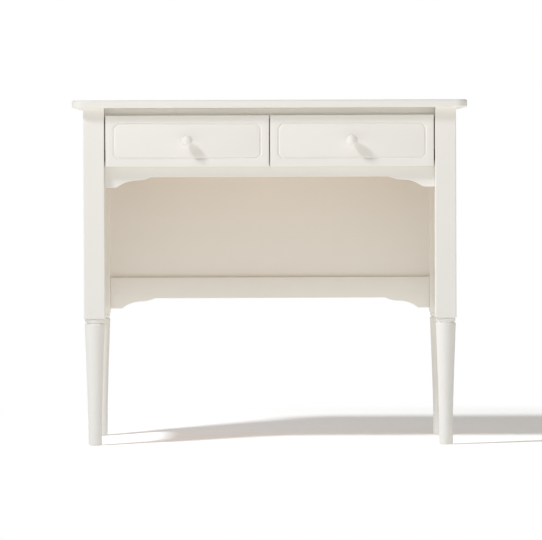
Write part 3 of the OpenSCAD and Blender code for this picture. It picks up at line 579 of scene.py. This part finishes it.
def lamp(name, light, radius, receivers):
    """A round lamp that is as strong at any distance, and lights only what its receivers let it light."""
    strength = max(light)
    lit = bpy.data.lights.new(name, "POINT")
    lit.energy = 1
    lit.shadow_soft_size = radius
    lit.use_nodes = True
    tree = lit.node_tree
    tree.nodes.clear()
    fall = add(tree, "ShaderNodeLightFalloff", Strength=strength)
    colour = tuple(part / strength for part in light) + (1,)
    glow = add(tree, "ShaderNodeEmission", Color=colour, Strength=(fall, "Constant"))
    add(tree, "ShaderNodeOutputLight", Surface=(glow, 0))
    made = bpy.data.objects.new(name, lit)
    bpy.context.scene.collection.objects.link(made)
    made.location = LAMP_PLACE
    made.light_linking.receiver_collection = receivers


floor_alone = bpy.data.collections.new("floor_alone")
all_but_floor = bpy.data.collections.new("all_but_floor")
lamp("desk_lamp", DESK_LAMP, DESK_LAMP_R, all_but_floor)
lamp("floor_lamp", FLOOR_LAMP, FLOOR_LAMP_R, floor_alone)


# ---- Room: sky ----

# Light from all round, and soft patches of light in front, in a window up on the left, and overhead. A patch
# has its colour, the way to its middle, and a power that makes it narrower.
AROUND = (0.09, 0.09, 0.09)
PATCHES = (
    ((0.25, 0.235, 0.225), (0.0, -1.0, 0.0), 3.0),
    ((0.08, 0.16, 0.20), (-0.50, -0.52, 0.69), 3.0),
    ((0.44, 0.42, 0.37), (0.0, 0.0, 1.0), 2.0),
)


def soft_sky():
    """A sky that the camera sees as plain white. The desk and the floor get the light all round, and each
    patch's colour times a power of the cosine of the angle from its middle."""
    sky = bpy.data.worlds.new("soft_sky")
    sky.use_nodes = True
    tree = sky.node_tree
    tree.nodes.clear()
    path = add(tree, "ShaderNodeLightPath")
    where = add(tree, "ShaderNodeTexCoord")
    soft = add(tree, "ShaderNodeBackground", Color=AROUND + (1,), Strength=1.0)
    for colour, middle, power in PATCHES:
        cosine = add(tree, "ShaderNodeVectorMath", {"operation": "DOT_PRODUCT"}, i0=(where, "Generated"),
                     i1=middle)
        facing = add(tree, "ShaderNodeMath", {"operation": "MAXIMUM"}, i0=(cosine, "Value"), i1=0.0)
        patch = add(tree, "ShaderNodeMath", {"operation": "POWER"}, i0=(facing, 0), i1=power)
        glow = add(tree, "ShaderNodeBackground", Color=colour + (1,), Strength=(patch, 0))
        soft = add(tree, "ShaderNodeAddShader", i0=(soft, 0), i1=(glow, 0))
    white = add(tree, "ShaderNodeBackground", Color=(1, 1, 1, 1), Strength=1.0)
    mix = add(tree, "ShaderNodeMixShader", Fac=(path, "Is Camera Ray"), i1=(soft, 0), i2=(white, 0))
    add(tree, "ShaderNodeOutputWorld", Surface=(mix, 0))
    return sky


bpy.context.scene.world = soft_sky()


# ---- Room: floor ----

# Half the floor's length, and round which point and how far out it goes over to plain white, in metres
FLOOR_HALF = 30
FLOOR_MIDDLE, FLOOR_FADE = (0.35, 0.15, 0.0), (1.0, 1.4)

# The floor as it is seen: its paint, and painted light, a glow that lightens its shadow and is less towards
# the right
PAINT = (0.95, 0.95, 0.88)
PAINTED_SHADOW_LIGHT_COLOUR, PAINTED_SHADOW_LIGHT, PAINTED_SHADOW_LIGHT_X = (0.94, 0.80, 0.89), (0.255, 0.182), (-0.2, 0.55)

# The light that the floor gives the desk: what it throws back, its own light near the desk and ahead of it,
# and how far ahead the one goes over to the other
BOUNCE = (0.10, 0.10, 0.10)
NEAR, AHEAD, AHEAD_Y = (0.88, 0.86, 0.83), (1.38, 1.28, 1.12), (-0.6, -5.0)


def floor_paint():
    """A matt white floor that keeps shadows near the desk, lightened there by a painted glow, and is plain
    white further out, as the sky is. The camera sees it so, and so do mirrors and glass. Matt faces get
    their light from a dim floor that has its own light instead, which changes from near the desk to ahead of
    it."""
    made, tree = new_material("floor_paint")
    path = add(tree, "ShaderNodeLightPath")
    where = add(tree, "ShaderNodeTexCoord")
    split = add(tree, "ShaderNodeSeparateXYZ", Vector=(where, "Object"))

    off = add(tree, "ShaderNodeVectorMath", {"operation": "DISTANCE"}, i0=(where, "Object"), i1=FLOOR_MIDDLE)
    far = add(tree, "ShaderNodeMapRange", {"interpolation_type": "SMOOTHSTEP"}, Value=(off, "Value"),
              From_Min=FLOOR_FADE[0], From_Max=FLOOR_FADE[1])
    # Painted light: an emission that lightens the floor's shadow, weaker towards the right
    painted_shadow_light = add(tree, "ShaderNodeMapRange", Value=(split, "X"), From_Min=PAINTED_SHADOW_LIGHT_X[0], From_Max=PAINTED_SHADOW_LIGHT_X[1],
               To_Min=PAINTED_SHADOW_LIGHT[0], To_Max=PAINTED_SHADOW_LIGHT[1])
    lit = add(tree, "ShaderNodeBsdfDiffuse", Color=PAINT + (1,))
    glow = add(tree, "ShaderNodeEmission", Color=PAINTED_SHADOW_LIGHT_COLOUR + (1,), Strength=(painted_shadow_light, 0))
    near = add(tree, "ShaderNodeAddShader", i0=(lit, 0), i1=(glow, 0))
    white = add(tree, "ShaderNodeEmission", Color=(1, 1, 1, 1), Strength=1.0)
    seen = add(tree, "ShaderNodeMixShader", Fac=(far, 0), i1=(near, 0), i2=(white, 0))

    taken = add(tree, "ShaderNodeBsdfDiffuse", Color=BOUNCE + (1,))
    ahead = add(tree, "ShaderNodeMapRange", {"interpolation_type": "SMOOTHSTEP"}, Value=(split, "Y"),
                From_Min=AHEAD_Y[0], From_Max=AHEAD_Y[1])
    pale = add(tree, "ShaderNodeMix", {"data_type": "RGBA"}, i0=(ahead, 0), i6=NEAR + (1,), i7=AHEAD + (1,))
    given = add(tree, "ShaderNodeEmission", Color=(pale, 2), Strength=1.0)
    felt = add(tree, "ShaderNodeAddShader", i0=(taken, 0), i1=(given, 0))

    mirrored = add(tree, "ShaderNodeMath", {"operation": "MAXIMUM"}, i0=(path, "Is Glossy Ray"),
                   i1=(path, "Is Transmission Ray"))
    direct = add(tree, "ShaderNodeMath", {"operation": "MAXIMUM"}, i0=(path, "Is Camera Ray"),
                 i1=(mirrored, 0))
    mix = add(tree, "ShaderNodeMixShader", Fac=(direct, 0), i1=(felt, 0), i2=(seen, 0))
    add(tree, "ShaderNodeOutputMaterial", Surface=(mix, 0))
    return made


corners = [(x * FLOOR_HALF, y * FLOOR_HALF, 0) for x, y in ((-1, -1), (1, -1), (1, 1), (-1, 1))]
mesh = bpy.data.meshes.new("floor")
mesh.from_pydata(corners, [], [(0, 1, 2, 3)])
mesh.materials.append(floor_paint())
floor = bpy.data.objects.new("floor", mesh)
bpy.context.scene.collection.objects.link(floor)
floor_alone.objects.link(floor)
all_but_floor.objects.link(floor)
all_but_floor.collection_objects[0].light_linking.link_state = "EXCLUDE"
